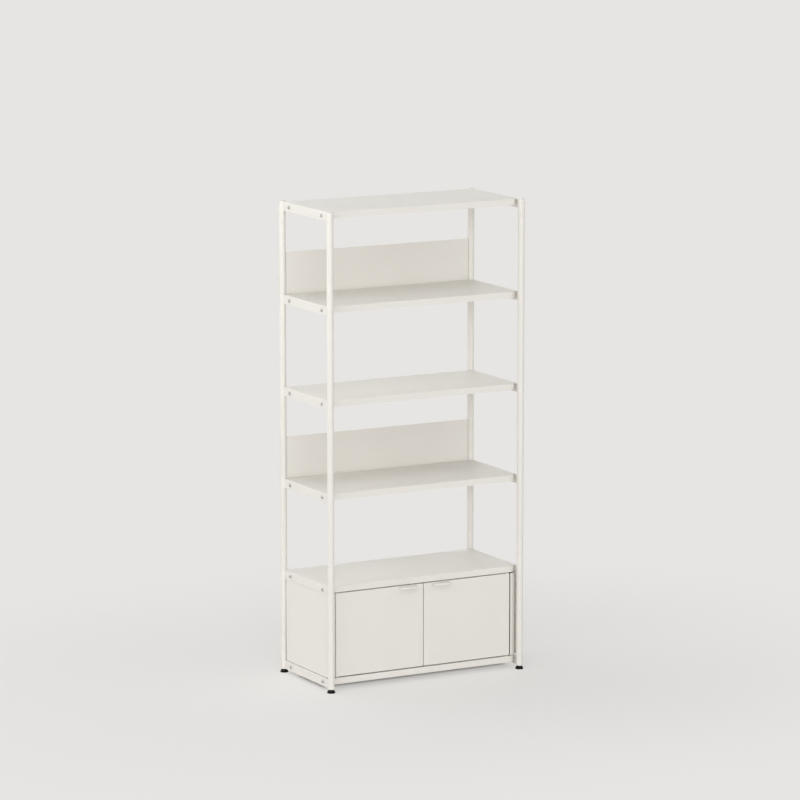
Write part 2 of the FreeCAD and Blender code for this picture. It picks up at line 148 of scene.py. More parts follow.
class Wiring:
    """Adds and joins the nodes of one tree."""

    def __init__(self, tree: bpy.types.NodeTree) -> None:
        """Start on an emptied tree.

        Args:
            tree: the node tree of a material, a world or a group.
        """
        self.tree = tree
        tree.nodes.clear()

    def node(self, kind: str, inputs: dict[Any, Any] | None = None, **settings: Any) -> bpy.types.Node:
        """Add a node.

        Args:
            kind: the node's type name.
            inputs: values or sockets for its inputs, by name or number.
            settings: plain properties of the node.

        Returns:
            The new node.
        """
        made = self.tree.nodes.new(kind)
        for key, value in settings.items():
            setattr(made, key, value)
        for key, value in (inputs or {}).items():
            if isinstance(value, bpy.types.NodeSocket):
                self.tree.links.new(value, made.inputs[key])
            else:
                made.inputs[key].default_value = value
        return made

    def math(self, operation: str, first: Any, second: Any, clamp: bool = False) -> bpy.types.NodeSocket:
        """Add a Math node and return its result.

        Args:
            operation: the node's operation.
            first: a number or a socket.
            second: a number or a socket.
            clamp: whether the result stays between 0 and 1.

        Returns:
            The socket of the result.
        """
        made = self.node("ShaderNodeMath", {0: first, 1: second}, operation=operation, use_clamp=clamp)
        return made.outputs[0]

    def vector(self, operation: str, *values: Any) -> bpy.types.Node:
        """Add a Vector Math node.

        Args:
            operation: the node's operation.
            values: vectors or sockets for its inputs, in order.

        Returns:
            The new node.
        """
        return self.node("ShaderNodeVectorMath", dict(enumerate(values)), operation=operation)

    def mix(self, kind: MixKind, factor: Any, first: Any, second: Any) -> bpy.types.NodeSocket:
        """Add a Mix node and return its result.

        Args:
            kind: what it mixes.
            factor: the share of the second value, a number or a socket.
            first: the first value or its socket.
            second: the second value or its socket.

        Returns:
            The socket of the result.
        """
        data_type, first_socket, second_socket, result = kind.value
        made = self.node("ShaderNodeMix", {"Factor": factor, first_socket: first, second_socket: second},
                         data_type=data_type)
        return made.outputs[result]

    def ramp(self, value: bpy.types.NodeSocket, span: Point, ends: Point = (0.0, 1.0),
             smooth: bool = False) -> bpy.types.NodeSocket:
        """Turn one span of values into another, held at both ends.

        Args:
            value: the socket of the value.
            span: the values at which the ramp starts and ends.
            ends: the levels that it gives there.
            smooth: whether it eases in and out.

        Returns:
            The socket of the level.
        """
        made = self.node("ShaderNodeMapRange", {
            "Value": value, "From Min": span[0], "From Max": span[1], "To Min": ends[0], "To Max": ends[1]},
            interpolation_type="SMOOTHSTEP" if smooth else "LINEAR")
        return made.outputs[0]

    def noise(self, vector: Any, scale: Any, detail: float) -> bpy.types.NodeSocket:
        """Add a noise texture and return its value.

        Args:
            vector: the socket of the coordinates.
            scale: repeats to the metre, a number or a socket.
            detail: octaves of the noise.

        Returns:
            The socket of the noise value.
        """
        made = self.node("ShaderNodeTexNoise", {"Vector": vector, "Scale": scale, "Detail": detail})
        return made.outputs[0]


class Effects:
    """Shader node groups that several finishes share."""

    fine_octaves: float = 2.0
    broad_octaves: float = 1.0
    drift_octaves: float = 3.0
    rub_octaves: float = 2.0
    rub_samples: int = 4
    # How well the rounded normal matches the plain one on a flat face and on a sharp edge.
    rub_match: Point = (0.99, 0.75)

    def __init__(self) -> None:
        """Build every group once."""
        self.grain = self._grain()
        self.drift = self._drift()
        self.rub = self._rub()

    @staticmethod
    def _group(name: str, inputs: dict[str, Socket],
               outputs: dict[str, Socket]) -> tuple[Wiring, bpy.types.Node, bpy.types.Node]:
        """Make an empty group with its sockets.

        Args:
            name: the group's name.
            inputs: the kind of each input.
            outputs: the kind of each output.

        Returns:
            The wiring of the group, its input node and its output node.
        """
        tree = bpy.data.node_groups.new(name, "ShaderNodeTree")
        for way, sockets in (("INPUT", inputs), ("OUTPUT", outputs)):
            for key, kind in sockets.items():
                tree.interface.new_socket(key, in_out=way, socket_type=kind.value)
        wiring = Wiring(tree)
        return wiring, wiring.node("NodeGroupInput"), wiring.node("NodeGroupOutput")

    def _grain(self) -> bpy.types.NodeTree:
        """Fine and broad ripple of a moulded or sprayed surface.

        Returns:
            A group with a height and a sheen value, both about 0.5.
        """
        wiring, given, made = self._group(
            "Surface grain",
            {"Vector": Socket.VECTOR, "Fine Scale": Socket.VALUE, "Broad Scale": Socket.VALUE,
             "Broad Share": Socket.VALUE},
            {"Height": Socket.VALUE, "Sheen": Socket.VALUE})
        vector = given.outputs["Vector"]
        fine = wiring.noise(vector, given.outputs["Fine Scale"], self.fine_octaves)
        broad = wiring.noise(vector, given.outputs["Broad Scale"], self.broad_octaves)
        mixed = wiring.mix(MixKind.VALUE, given.outputs["Broad Share"], fine, broad)
        wiring.tree.links.new(mixed, made.inputs["Height"])
        wiring.tree.links.new(broad, made.inputs["Sheen"])
        return wiring.tree

    def _drift(self) -> bpy.types.NodeTree:
        """Slow change of tone over a surface.

        Returns:
            A group that puts out the colour, pulled towards a second one in soft patches.
        """
        wiring, given, made = self._group(
            "Tone drift",
            {"Vector": Socket.VECTOR, "Color": Socket.COLOR, "Drift Color": Socket.COLOR,
             "Scale": Socket.VALUE},
            {"Color": Socket.COLOR})
        patch = wiring.noise(given.outputs["Vector"], given.outputs["Scale"], self.drift_octaves)
        share = wiring.ramp(patch, NOISE_SPAN, smooth=True)
        mixed = wiring.mix(MixKind.COLOR, share, given.outputs["Color"], given.outputs["Drift Color"])
        wiring.tree.links.new(mixed, made.inputs["Color"])
        return wiring.tree

    def _rub(self) -> bpy.types.NodeTree:
        """Painted highlight: a lighter colour along sharp edges, broken up in patches.

        Returns:
            A group with the mask of the painted highlight, up to 1 on a sharp edge and 0 on a flat face.
        """
        wiring, given, made = self._group(
            "Painted edge highlights",
            {"Vector": Socket.VECTOR, "Radius": Socket.VALUE, "Breakup": Socket.VALUE},
            {"Mask": Socket.VALUE})
        radius = given.outputs["Radius"]
        rounded = wiring.node("ShaderNodeBevel", {"Radius": radius}, samples=self.rub_samples)
        plain = wiring.node("ShaderNodeNewGeometry")
        match = wiring.vector("DOT_PRODUCT", rounded.outputs[0], plain.outputs["Normal"])
        edge = wiring.ramp(match.outputs["Value"], self.rub_match)
        patchy = wiring.noise(given.outputs["Vector"], given.outputs["Breakup"], self.rub_octaves)
        mask = wiring.math("MULTIPLY", edge, patchy, clamp=True)
        wiring.tree.links.new(mask, made.inputs["Mask"])
        return wiring.tree


@dataclass(frozen=True)
class Finish:
    """One finish of the part: colour, sheen and grain of a surface."""

    slot: Slot
    color: Color
    drift_color: Color
    # Lighter colour painted along sharp edges as a highlight, whatever the light.
    edge_highlight_color: Color
    roughness: float
    rough_swing: float
    metallic: float = 0.0
    specular: float = 0.5
    fine_scale: float = 900.0
    broad_scale: float = 160.0
    broad_share: float = 0.5
    bump: float = 0.3
    bump_depth: float = 0.00002
    drift_scale: float = 6.0
    rub_radius: float = 0.0006
    rub_breakup: float = 400.0

    def material(self, effects: Effects) -> bpy.types.Material:
        """Build the finish as a material.

        Args:
            effects: the shared node groups.

        Returns:
            The material, named after the finish's slot.
        """
        made = bpy.data.materials.new(f"{self.slot.value}_look")
        made.use_nodes = True
        wiring = Wiring(made.node_tree)
        place = wiring.node("ShaderNodeTexCoord").outputs["Object"]
        grain = wiring.node("ShaderNodeGroup", {
            "Vector": place, "Fine Scale": self.fine_scale, "Broad Scale": self.broad_scale,
            "Broad Share": self.broad_share}, node_tree=effects.grain)
        drift = wiring.node("ShaderNodeGroup", {
            "Vector": place, "Color": opaque(self.color), "Drift Color": opaque(self.drift_color),
            "Scale": self.drift_scale}, node_tree=effects.drift)
        rub = wiring.node("ShaderNodeGroup", {
            "Vector": place, "Radius": self.rub_radius, "Breakup": self.rub_breakup}, node_tree=effects.rub)
        # Painted highlight: sharp edges are mixed towards a lighter colour, whatever the light.
        tone = wiring.mix(MixKind.COLOR, rub.outputs["Mask"], drift.outputs["Color"],
                          opaque(self.edge_highlight_color))
        rough = wiring.ramp(grain.outputs["Sheen"], NOISE_SPAN,
                            (self.roughness - self.rough_swing, self.roughness + self.rough_swing))
        bump = wiring.node("ShaderNodeBump", {"Height": grain.outputs["Height"], "Strength": self.bump,
                                              "Distance": self.bump_depth})
        shader = wiring.node("ShaderNodeBsdfPrincipled", {
            "Base Color": tone, "Roughness": rough, "Metallic": self.metallic,
            "Specular IOR Level": self.specular, "Normal": bump.outputs[0]})
        wiring.node("ShaderNodeOutputMaterial", {"Surface": shader.outputs[0]})
        return made


# The third colour of each finish is its painted edge highlight.
FINISHES = (
    Finish(Slot.COAT, (0.795, 0.773, 0.726), (0.785, 0.763, 0.714), (0.811, 0.791, 0.748),
           roughness=0.50, rough_swing=0.05, fine_scale=1100.0, broad_scale=260.0, bump=0.35),
    Finish(Slot.CAP, (0.795, 0.773, 0.726), (0.783, 0.761, 0.712), (0.815, 0.800, 0.760),
           roughness=0.55, rough_swing=0.06, fine_scale=2600.0, broad_scale=700.0),
    Finish(Slot.INSERT, (0.030, 0.030, 0.031), (0.040, 0.040, 0.041), (0.080, 0.080, 0.080),
           roughness=0.55, rough_swing=0.08, fine_scale=2400.0, broad_scale=500.0),
    Finish(Slot.FOOT, (0.003, 0.003, 0.003), (0.005, 0.005, 0.005), (0.016, 0.016, 0.016),
           roughness=0.55, rough_swing=0.08, specular=0.15, fine_scale=2400.0, broad_scale=500.0),
    Finish(Slot.BUSH, (0.740, 0.730, 0.700), (0.720, 0.710, 0.680), (0.780, 0.770, 0.740),
           roughness=0.45, rough_swing=0.06, fine_scale=2400.0, broad_scale=600.0),
    Finish(Slot.CATCH, (0.730, 0.720, 0.690), (0.710, 0.700, 0.670), (0.780, 0.770, 0.740),
           roughness=0.48, rough_swing=0.06, fine_scale=2400.0, broad_scale=600.0),
    Finish(Slot.STEEL, (0.520, 0.515, 0.503), (0.430, 0.427, 0.420), (0.640, 0.635, 0.625),
           roughness=0.38, rough_swing=0.10, metallic=1.0, fine_scale=3200.0, broad_scale=900.0,
           drift_scale=180.0, rub_radius=0.0003),
)


class Palette:
    """Materials of all finishes."""

    def __init__(self) -> None:
        """Build the shared groups and one material for each finish."""
        effects = Effects()
        self.looks = {finish.slot: finish.material(effects) for finish in FINISHES}

    def dress_frame(self) -> int:
        """Put the finishes on the nodes that came with the frame.

        Returns:
            How many nodes were dressed.
        """
        nodes = frame["nodes"]
        subparts = frame["record"]["subparts"]
        for subpart in subparts:
            slots = nodes[subpart["node"]].material_slots
            for place in slots:
                place.material = self.looks[Slot(subpart["material_slot"])]
        return len(subparts)


# Mesh tools


def arc(middle: Point, radius: float, start: float, stop: float, count: int) -> list[Point]:
    """Lay points along a circular arc.

    Args:
        middle: the centre of the arc.
        radius: its radius, in metres.
        start: the angle of the first point, in degrees.
        stop: the angle of the last point, in degrees.
        count: how many steps lie between them.

    Returns:
        The points, both ends included.
    """
    turns = [math.radians(start + (stop - start) * step / count) for step in range(count + 1)]
    return [(middle[0] + radius * math.cos(turn), middle[1] + radius * math.sin(turn)) for turn in turns]


def thread(radius: float, depth: float, pitch: float, start: float, length: float) -> list[Point]:
    """Lay out the ridges and grooves of a thread, from its upper end down.

    Args:
        radius: the outer radius.
        depth: how deep the grooves are.
        pitch: the step from ridge to ridge.
        start: the height of the upper end.
        length: how far the ridges reach down.

    Returns:
        Radius and height of each ridge and groove.
    """
    points = []
    for ridge in range(int(length / pitch)):
        height = start - pitch * ridge
        points += [(radius, height - pitch * RIDGE_SHARE), (radius - depth, height - pitch * GROOVE_SHARE)]
    return points


def tidy_shell(bm: bmesh.types.BMesh) -> None:
    """Merge doubles and point the faces outwards.

    Args:
        bm: the mesh to tidy.
    """
    bmesh.ops.remove_doubles(bm, verts=bm.verts, dist=MERGE)
    bmesh.ops.dissolve_degenerate(bm, dist=MERGE, edges=bm.edges)
    bmesh.ops.recalc_face_normals(bm, faces=bm.faces)


def turn_profile(bm: bmesh.types.BMesh, profile: list[Point], steps: int, ring: bool = False) -> None:
    """Spin a profile about the upright axis through the origin.

    Args:
        bm: the mesh to add to.
        profile: radius and height of each point, in metres.
        steps: how many faces go round.
        ring: whether the profile closes on itself.
    """
    points = [bm.verts.new((radius, 0.0, height)) for radius, height in profile]
    lines = [bm.edges.new(pair) for pair in zip(points, points[1:])]
    if ring:
        lines.append(bm.edges.new((points[-1], points[0])))
    bmesh.ops.spin(bm, geom=points + lines, cent=(0.0, 0.0, 0.0), axis=UP, dvec=(0.0, 0.0, 0.0),
                   angle=math.tau, steps=steps, use_merge=True, use_normal_flip=False, use_duplicate=False)
    tidy_shell(bm)


def hexagon(bm: bmesh.types.BMesh, across_flats: float, height: float,
            points: int) -> list[bmesh.types.BMEdge]:
    """Draw a hexagon of wire edges, with two corners along Y.

    Args:
        bm: the mesh to add to.
        across_flats: its width between flats.
        height: the height it lies at.
        points: how many points it has in all.

    Returns:
        The wire edges.
    """
    corners = 6
    before = set(bm.edges)
    bmesh.ops.create_circle(bm, radius=across_flats / math.sqrt(3.0), segments=corners,
                            matrix=Matrix.Translation(UP * height))
    sides = [edge for edge in bm.edges if edge not in before]
    bmesh.ops.subdivide_edges(bm, edges=sides, cuts=points // corners - 1)
    return [edge for edge in bm.edges if edge not in before]


def block(bm: bmesh.types.BMesh, x_span: Point, y_span: Point, z_span: Point) -> None:
    """Add a box between the two ends of each span, given in either order.

    Args:
        bm: the mesh to add to.
        x_span: its ends along X.
        y_span: its ends along Y.
        z_span: its ends along Z.
    """
    spans = (x_span, y_span, z_span)
    middle = Vector([sum(span) / 2.0 for span in spans])
    size = Matrix.Diagonal((*[abs(span[1] - span[0]) for span in spans], 1.0))
    bmesh.ops.create_cube(bm, size=1.0, matrix=Matrix.Translation(middle) @ size)


def draw_out(bm: bmesh.types.BMesh, made: dict[str, Any], way: Vector) -> None:
    """Move what an extrusion has made.

    Args:
        bm: the mesh that was extruded.
        made: what the extrude operator returned.
        way: how far the new vertices go.
    """
    verts = [item for item in made["geom"] if isinstance(item, bmesh.types.BMVert)]
    bmesh.ops.translate(bm, verts=verts, vec=way)


def round_off(bm: bmesh.types.BMesh, geom: list[Any], width: float, segments: int,
              what: Rounding = Rounding.EDGES) -> None:
    """Round off the given edges or corners.

    Args:
        bm: the mesh to work on.
        geom: the edges, or the vertices of the corners.
        width: how far the rounding reaches, in metres.
        segments: faces across the rounding.
        what: whether it takes off edges or corners.
    """
    bmesh.ops.bevel(bm, geom=geom, offset=width, offset_type="OFFSET", segments=segments, profile=0.5,
                    affect=what.value, material=-1, clamp_overlap=True)


def soften(bm: bmesh.types.BMesh, width: float, segments: int, corner: float = CRISP) -> None:
    """Round off the edges that are sharper than a corner angle.

    Args:
        bm: the mesh to soften.
        width: how far the rounding reaches, in metres.
        segments: faces across the rounding.
        corner: the least angle between faces, in radians.
    """
    sharp = [edge for edge in bm.edges if len(edge.link_faces) == 2 and edge.calc_face_angle() > corner]
    round_off(bm, sharp, width, segments)


def smooth_faces(bm: bmesh.types.BMesh) -> None:
    """Shade the mesh smooth, apart from its crisp edges.

    Args:
        bm: the mesh to shade.
    """
    for face in bm.faces:
        face.smooth = True
    for edge in bm.edges:
        edge.smooth = len(edge.link_faces) == 2 and edge.calc_face_angle() < CRISP


def as_mesh(bm: bmesh.types.BMesh, name: str) -> bpy.types.Mesh:
    """Store a mesh under construction and free it.

    Args:
        bm: the mesh to store.
        name: the stored mesh's name.

    Returns:
        The stored mesh.
    """
    mesh = bpy.data.meshes.new(name)
    bm.to_mesh(mesh)
    bm.free()
    return mesh


def stamp(bm: bmesh.types.BMesh, pattern: bpy.types.Mesh, place: Matrix) -> None:
    """Add a copy of a stored mesh.

    Args:
        bm: the mesh to add to.
        pattern: the mesh to copy.
        place: where the copy goes.
    """
    before = set(bm.verts)
    bm.from_mesh(pattern)
    bmesh.ops.transform(bm, matrix=place, verts=[vert for vert in bm.verts if vert not in before])


def axes(x_axis: Vector, y_axis: Vector, z_axis: Vector, origin: Vector) -> Matrix:
    """Give the place whose own axes point along three vectors.

    Args:
        x_axis: where its X points.
        y_axis: where its Y points.
        z_axis: where its Z points.
        origin: where its origin lies.

    Returns:
        The matrix of the place.
    """
    return Matrix.Translation(origin) @ Matrix((x_axis, y_axis, z_axis)).transposed().to_4x4()


def facing(seat: Vector, out: Vector) -> Matrix:
    """Give the place of a fastener that is drawn upright.

    Args:
        seat: the middle of the face that it sits on.
        out: the unit vector out of that face.

    Returns:
        The matrix that turns up to out, with Y kept where out allows it.
    """
    side = BACK if abs(out.y) < 0.5 else RIGHT
    return axes(side.cross(out), side, out, seat)


def add_object(name: str, data: Any) -> bpy.types.Object:
    """Put a mesh, a lamp or a camera into the scene.

    Args:
        name: the object's name.
        data: what the object holds.

    Returns:
        The new object, at the origin.
    """
    made = bpy.data.objects.new(name, data)
    bpy.context.scene.collection.objects.link(made)
    return made


# Sub-assemblies


@dataclass(frozen=True)
class Plan:
    """Driving sizes that the finer pieces follow, in metres."""

    half_x: float = 0.404
    half_y: float = 0.191
    post_radius: float = 0.0125
    bore_radius: float = 0.011
    post_bottom: float = 0.014
    bar_height: float = 0.034
    bar_half: float = 0.002
    tier_pitch: float = 0.350
    tiers: int = 5
    sheet: float = 0.0012
    tray_height: float = 0.024
    tray_front: float = -0.1695
    hem_depth: float = 0.030
    door_gap: float = 0.003
    door_level_gap: float = 0.004
    door_depth: float = 0.018
    catch_edge: float = 0.014
    catch_width: float = 0.034
    strike_sheet: float = 0.001

    @property
    def tray_tops(self) -> list[float]:
        """Heights of the trays, from the highest down."""
        return [self.floor_top + self.tier_pitch * step for step in range(self.tiers, -1, -1)]

    @property
    def floor_top(self) -> float:
        """Height of the cabinet's floor."""
        return self.post_bottom + self.bar_height

    @property
    def hem_bottom(self) -> float:
        """Height of the underside of the tray above the cabinet."""
        return self.floor_top + self.tier_pitch - self.tray_height

    @property
    def door_top(self) -> float:
        """Height of the doors' upper edges."""
        return self.hem_bottom - self.door_level_gap

    def corners(self) -> dict[str, Vector]:
        """Find the places of the posts.

        Returns:
            The point on the floor under each post, by the frame's word for its corner.
        """
        return {f"{end.word}_{side.word}": Vector((side.value * self.half_x, end.value * self.half_y, 0.0))
                for side in Side for end in End}

    def from_middle(self, side: Side, edge: float, width: float) -> Point:
        """Find the span of a piece near a door's free edge.

        Args:
            side: the door's side.
            edge: how far the piece keeps from the free edge.
            width: how wide it is.

        Returns:
            Its ends along X, the nearer one first.
        """
        near = self.door_gap / 2.0 + edge
        return side.value * near, side.value * (near + width)


@dataclass
class SubAssembly(ABC):
    """Pieces that belong together."""

    palette: Palette
    plan: Plan

    @abstractmethod
    def build(self) -> None:
        """Build and dress every piece."""

    def piece(self, name: str, bm: bmesh.types.BMesh, slot: Slot, body: str,
              stands_for: Iterable[str] = ()) -> None:
        """Turn a finished mesh into a piece of the object.

        Args:
            name: the piece's name.
            bm: its mesh, which is freed.
            slot: its finish.
            body: the body that it rides on.
            stands_for: frame nodes that it replaces.
        """
        smooth_faces(bm)
        mesh = as_mesh(bm, name)
        mesh.materials.append(self.palette.looks[slot])
        made = add_object(name, mesh)
        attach(made, body)
        nodes = list(stands_for)
        if nodes:
            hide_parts(*nodes)
        LOG.info("%s: %d faces on %s", name, len(mesh.polygons), body)


@dataclass
class SideFrames(SubAssembly):
    """Caps, foot inserts and welds of the two side frames."""

    cap_rise: float = 0.002
    cap_edge: float = 0.0007
    cap_stem: float = 0.012
    dome_steps: int = 6
    plug_fit: float = 0.00005
    rib_rise: float = 0.00004
    rib_count: int = 3
    insert_length: float = 0.022
    insert_bore: float = 0.00405
    insert_chamfer: float = 0.0008
    bead_radius: float = 0.0014
    bead_ripple: float = 0.0022
    ripple_share: float = 0.14
    bead_wrap: Point = (-12.0, 102.0)
    bead_faces: int = 6
    ripple_faces: int = 4
    steps: int = 48

    def build(self) -> None:
        """Build and dress every piece of both frames."""
        for corner, foot in self.plan.corners().items():
            self._cap(corner, foot)
            self._insert(corner, foot)
        self._welds()

    def _cap(self, corner: str, foot: Vector) -> None:
        """Build the domed cap of one post, with ribs round its stem.

        Args:
            corner: the frame's word for the post.
            foot: the point under the post.
        """
        rim = self.plan.post_radius
        stem = self.plan.bore_radius - self.plug_fit
        dome = self.cap_rise - self.cap_edge
        crown = arc((rim - dome, self.cap_edge), dome, 90.0, 0.0, self.dome_steps)
        ribs = []
        for rib in range(1, self.rib_count + 1):
            level = -self.cap_stem * rib / (self.rib_count + 1)
            ribs += [(stem, level + self.cap_edge), (stem + self.rib_rise, level),
                     (stem, level - self.cap_edge)]
        profile = [(0.0, self.cap_rise), *crown, (rim, 0.0), (stem, 0.0), *ribs,
                   (stem, self.cap_edge - self.cap_stem), (stem - self.cap_edge, -self.cap_stem),
                   (0.0, -self.cap_stem)]
        bm = bmesh.new()
        turn_profile(bm, profile, self.steps)
        bmesh.ops.translate(bm, verts=bm.verts, vec=foot + UP * self.plan.tray_tops[0])
        self.piece(f"domed_cap_{corner}", bm, Slot.CAP, Body.FRAME.value, [f"post_cap_{corner}"])

    def _insert(self, corner: str, foot: Vector) -> None:
        """Build the plug in one post's lower end, with a countersunk bore.

        Args:
            corner: the frame's word for the post.
            foot: the point under the post.
        """
        outer = self.plan.bore_radius - self.plug_fit
        bore, cut, length = self.insert_bore, self.insert_chamfer, self.insert_length
        profile = [(bore + cut, 0.0), (outer, 0.0), (outer, length - cut), (outer - cut, length),
                   (bore + cut, length), (bore, length - cut), (bore, cut)]
        bm = bmesh.new()
        turn_profile(bm, profile, self.steps, ring=True)
        bmesh.ops.translate(bm, verts=bm.verts, vec=foot + UP * self.plan.post_bottom)
        self.piece(f"threaded_plug_{corner}", bm, Slot.INSERT, Body.FRAME.value, [f"foot_insert_{corner}"])

    def _bead(self) -> bpy.types.Mesh:
        """Draw one rippled weld bead along Z, in the corner between X and Y.

        Returns:
            The bead, half above and half below the origin.
        """
        length = self.plan.bar_height
        ripples = round(length / self.bead_ripple)
        rows = self.bead_faces + 2
        bm = bmesh.new()
        bmesh.ops.create_grid(bm, x_segments=ripples * self.ripple_faces, y_segments=rows, size=0.5)
        for vert in bm.verts:
            along, row = vert.co.x, round((vert.co.y + 0.5) * rows)
            swell = 1.0 + self.ripple_share * math.cos(math.tau * ripples * along)
            taper = min(1.0, (0.5 - abs(along)) * length / self.bead_radius)
            share = (row - 1) / self.bead_faces
            turn = math.radians(self.bead_wrap[0] + (self.bead_wrap[1] - self.bead_wrap[0]) * share)
            # The first and the last row meet in the corner itself and close the bead.
            radius = self.bead_radius * swell * math.sqrt(taper) if 0.0 <= share <= 1.0 else 0.0
            vert.co = (radius * math.cos(turn), radius * math.sin(turn), along * length)
        tidy_shell(bm)
        return as_mesh(bm, "weld_bead")

    def _welds(self) -> None:
        """Lay a bead on both faces of each crossbar's ends."""
        bead = self._bead()
        reach = self.plan.half_y - math.sqrt(self.plan.post_radius ** 2 - self.plan.bar_half ** 2)
        bm = bmesh.new()
        for top, side, end, face in product(self.plan.tray_tops, Side, End, (-1.0, 1.0)):
            spot = Vector((side.value * self.plan.half_x + face * self.plan.bar_half, end.value * reach,
                           top - self.plan.bar_height / 2.0))
            inward, outward = Vector((0.0, -end.value, 0.0)), Vector((face, 0.0, 0.0))
            stamp(bm, bead, axes(inward, outward, UP, spot))
        bmesh.ops.recalc_face_normals(bm, faces=bm.faces)
        self.piece("weld_beads", bm, Slot.COAT, Body.FRAME.value)


@dataclass
class LevellingFeet(SubAssembly):
    """Conical feet with threaded studs, each on its own body."""

    height: float = 0.0138
    base_radius: float = 0.0155
    neck_radius: float = 0.010
    rim_height: float = 0.003
    rim_round: float = 0.0008
    rim_turn: float = 60.0
    neck_turn: float = 30.0
    base_steps: int = 4
    slope_steps: int = 3
    groove_shares: tuple[float, ...] = (0.50, 0.54, 0.58, 0.62)
    groove_depth: float = 0.0005
    stud_radius: float = 0.004
    stud_length: float = 0.026
    stud_pitch: float = 0.00125
    stud_groove: float = 0.0006
    steps: int = 48

    def build(self) -> None:
        """Build and dress the four feet."""
        for corner, foot in self.plan.corners().items():
            bm = bmesh.new()
            turn_profile(bm, self._profile(), self.steps)
            bmesh.ops.translate(bm, verts=bm.verts, vec=foot)
            self.piece(f"conical_foot_{corner}", bm, Slot.FOOT, f"foot_{corner}",
                       [f"levelling_foot_{corner}"])

    def _profile(self) -> list[Point]:
        """Lay out half of a foot's section, from its base to the tip of its stud.

        Returns:
            Radius and height of each point.
        """
        edge = self.base_radius - self.rim_round
        rim = (edge, self.rim_height - self.rim_round)
        shoulder = (self.neck_radius - self.rim_round, self.height - self.rim_round)
        lower = arc((edge, self.rim_round), self.rim_round, -90.0, 0.0, self.base_steps)
        upper = arc(rim, self.rim_round, 0.0, self.rim_turn, self.slope_steps)
        slope = [self._cone(share, depth) for share, depth in
                 zip(self.groove_shares, (0.0, self.groove_depth, self.groove_depth, 0.0))]
        neck = arc(shoulder, self.rim_round, self.neck_turn, 90.0, self.slope_steps)
        tip = self.height + self.stud_length
        stud = thread(self.stud_radius, self.stud_groove, self.stud_pitch, tip, self.stud_length)
        return [(0.0, 0.0), *lower, *upper, *slope, *neck, (self.stud_radius, self.height), *reversed(stud),
                (self.stud_radius - self.stud_groove, tip), (0.0, tip)]

    def _cone(self, share: float, depth: float) -> Point:
        """Find a point on the slope of a foot.

        Args:
            share: how far up the slope the point lies, from 0 to 1.
            depth: how deep it is cut into the slope.

        Returns:
            Its radius and height.
        """
        radius = self.base_radius + (self.neck_radius - self.base_radius) * share
        return radius - depth, self.rim_height + (self.height - self.rim_height) * share


@dataclass(frozen=True)
class Screw:
    """Sizes of a button-head screw with a hexagon socket, in metres."""

    radius: float
    length: float
    head_radius: float
    head_height: float
    crown_round: float
    across_flats: float
    socket_depth: float
    pitch: float
    groove: float
    steps: int = 24
    crown_steps: int = 6

    def mesh(self, name: str) -> bpy.types.Mesh:
        """Draw the screw upright, with its seat at the origin.

        Args:
            name: the mesh's name.

        Returns:
            The finished mesh.
        """
        flat = self.head_radius - self.crown_round
        middle = (flat, self.head_height - self.crown_round)
        crown = arc(middle, self.crown_round, 90.0, 0.0, self.crown_steps)
        shank = thread(self.radius, self.groove, self.pitch, 0.0, self.length)
        bm = bmesh.new()
        turn_profile(bm, [*crown, (self.head_radius, 0.0), *shank, (0.0, -self.length)], self.steps)
        rim = [edge for edge in bm.edges if edge.is_boundary]
        socket = hexagon(bm, self.across_flats, self.head_height, self.steps)
        bmesh.ops.bridge_loops(bm, edges=rim + socket)
        draw_out(bm, bmesh.ops.extrude_edge_only(bm, edges=socket), -UP * self.socket_depth)
        bmesh.ops.contextual_create(bm, geom=[edge for edge in bm.edges if edge.is_boundary])
        tidy_shell(bm)
        return as_mesh(bm, name)


@dataclass(frozen=True)
class Nut:
    """Sizes of a hexagon nut, in metres."""

    across_flats: float
    height: float
    bore_radius: float
    chamfer: float
    chamfer_steps: int = 2
    steps: int = 24

    def mesh(self, name: str) -> bpy.types.Mesh:
        """Draw the nut upright, with its seat at the origin.

        Args:
            name: the mesh's name.

        Returns:
            The finished mesh.
        """
        bm = bmesh.new()
        hexagon(bm, self.across_flats, 0.0, self.steps)
        bmesh.ops.create_circle(bm, radius=self.bore_radius, segments=self.steps)
        ring = bmesh.ops.bridge_loops(bm, edges=bm.edges[:])["faces"]
        draw_out(bm, bmesh.ops.extrude_face_region(bm, geom=ring), UP * self.height)
        tidy_shell(bm)
        least = self.across_flats / 2.0 - MERGE
        rims = [edge for edge in bm.edges
                if all(vert.co.xy.length > least for vert in edge.verts)
                and abs(edge.verts[0].co.z - edge.verts[1].co.z) < MERGE]
        round_off(bm, rims, self.chamfer, self.chamfer_steps)
        return as_mesh(bm, name)


